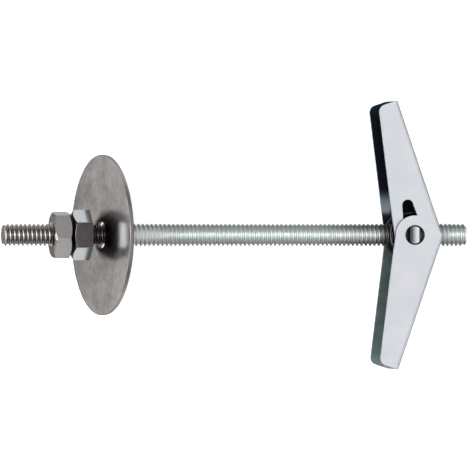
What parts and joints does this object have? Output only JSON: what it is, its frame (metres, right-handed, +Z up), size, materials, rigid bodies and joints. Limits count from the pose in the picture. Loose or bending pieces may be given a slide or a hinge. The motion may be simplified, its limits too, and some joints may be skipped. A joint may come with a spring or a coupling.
{
  "type": "spring toggle with threaded rod",
  "caption": "Threaded rod with a folding sheet-steel spring toggle at one end, and a wide washer with lock nuts at the other, for hanging a fitting from a hollow ceiling.",
  "frame": {"origin": "on the floor, below the middle of the fixing's bounding box as it lies", "axes": "+X along the fixing towards the toggle, +Y towards the upper wing, +Z up from the floor; the rod slopes down 8 degrees towards +X"},
  "size_m": [0.1012, 0.0582, 0.0327],
  "materials": {
    "zinc_rod": "bright zinc plate, threaded",
    "nut_steel": "zinc plate, semi-bright",
    "washer_steel": "zinc plate, satin",
    "trunnion_steel": "zinc plate, bright",
    "wing_steel": "blue-white zinc plate on pressed sheet",
    "spring_steel": "drawn spring wire"
  },
  "bodies": {
    "rod": {"threaded_rod": "zinc_rod"},
    "inner_nut": {"inner_nut": "nut_steel"},
    "outer_nut": {"outer_nut": "nut_steel"},
    "washer": {"washer": "washer_steel"},
    "toggle_head": {"trunnion_nut": "trunnion_steel", "torsion_spring": "spring_steel"},
    "upper_wing": {"upper_wing": "wing_steel"},
    "lower_wing": {"lower_wing": "wing_steel"}
  },
  "joints": [
    {"name": "inner_nut_travel", "type": "slide", "parent": "rod", "child": "inner_nut", "axis": [0.9902, 0, -0.1395], "range_m": [-0.004, 0.018]},
    {"name": "outer_nut_travel", "type": "slide", "parent": "inner_nut", "child": "outer_nut", "axis": [0.9902, 0, -0.1395], "range_m": [-0.0065, 0]},
    {"name": "washer_slide", "type": "slide", "parent": "inner_nut", "child": "washer", "axis": [0.9902, 0, -0.1395], "range_m": [-0.0011, 0.007]},
    {"name": "toggle_travel", "type": "slide", "parent": "rod", "child": "toggle_head", "axis": [0.9902, 0, -0.1395], "range_m": [-0.011, 0.007]},
    {"name": "upper_wing_fold", "type": "hinge", "parent": "toggle_head", "child": "upper_wing", "pos_m": [0.03793, 0, 0.00696], "axis": [0.1394, 0.0311, 0.9897], "range_deg": [0, 74], "stiffness_Nm_per_rad": 0.01, "springref_deg": -68.75, "deforming": ["torsion_spring"]},
    {"name": "lower_wing_fold", "type": "hinge", "parent": "toggle_head", "child": "lower_wing", "pos_m": [0.03793, 0, 0.00696], "axis": [-0.1394, -0.0311, -0.9897], "range_deg": [0, 74], "stiffness_Nm_per_rad": 0.01, "springref_deg": -68.75, "deforming": ["torsion_spring"]}
  ]
}
